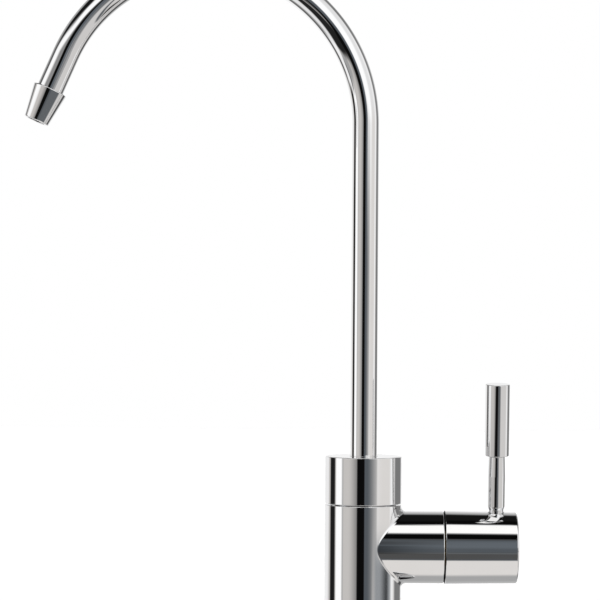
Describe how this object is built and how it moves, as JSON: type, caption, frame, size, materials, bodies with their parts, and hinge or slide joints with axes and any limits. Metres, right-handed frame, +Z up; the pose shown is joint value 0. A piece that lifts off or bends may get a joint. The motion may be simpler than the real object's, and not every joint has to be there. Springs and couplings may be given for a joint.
{
  "type": "drinking water faucet",
  "caption": "Chrome drinking water faucet with a tall swivelling gooseneck spout, a round body on a threaded shank, and a quarter-turn side handle with a pin lever.",
  "frame": {"origin": "centre of the hole in the worktop, in the plane where the base gasket rests", "axes": "+Z up along the shank, the body and the straight part of the spout; the valve barrel points along +X; the spout reaches towards -X at rest, turned 8 degrees towards -Y; the lever opens towards -Y"},
  "size_m": [0.1978, 0.0471, 0.3444],
  "materials": {
    "chrome": "polished",
    "brass": "turned",
    "steel": "satin",
    "rubber": "matt",
    "ceramic": "lapped",
    "plastic": "matt"
  },
  "bodies": {
    "body_assembly": {"faucet_body": "chrome", "spout_collar": "chrome", "slip_ring": "plastic", "cartridge_housing": "brass", "fixed_disc": "ceramic", "seat_seal": "rubber", "cartridge_o_ring": "rubber", "gland_nut": "brass", "base_flange": "chrome", "base_gasket": "rubber", "threaded_shank": "brass", "deck_washer": "rubber", "plate_washer": "steel", "lock_washer": "steel", "mounting_nut": "brass"},
    "spout": {"spout_tube": "chrome", "outlet_nozzle": "chrome", "flow_straightener": "plastic", "spout_tailpiece": "brass", "spout_o_ring_lower": "rubber", "spout_o_ring_upper": "rubber"},
    "handle": {"handle_knob": "chrome", "lever_rod": "chrome", "lever_sleeve": "chrome", "cartridge_spindle": "brass", "spindle_o_ring": "rubber", "spindle_circlip": "steel", "moving_disc": "ceramic", "thrust_ring": "plastic"}
  },
  "joints": [
    {"name": "spout_swivel", "type": "hinge", "parent": "body_assembly", "child": "spout", "pos_m": [0, 0, 0.0867], "axis": [0, 0, 1], "continuous": true},
    {"name": "handle_turn", "type": "hinge", "parent": "body_assembly", "child": "handle", "pos_m": [0.0328, 0, 0.05], "axis": [1, 0, 0], "range_deg": [-5.5, 84.5]}
  ]
}
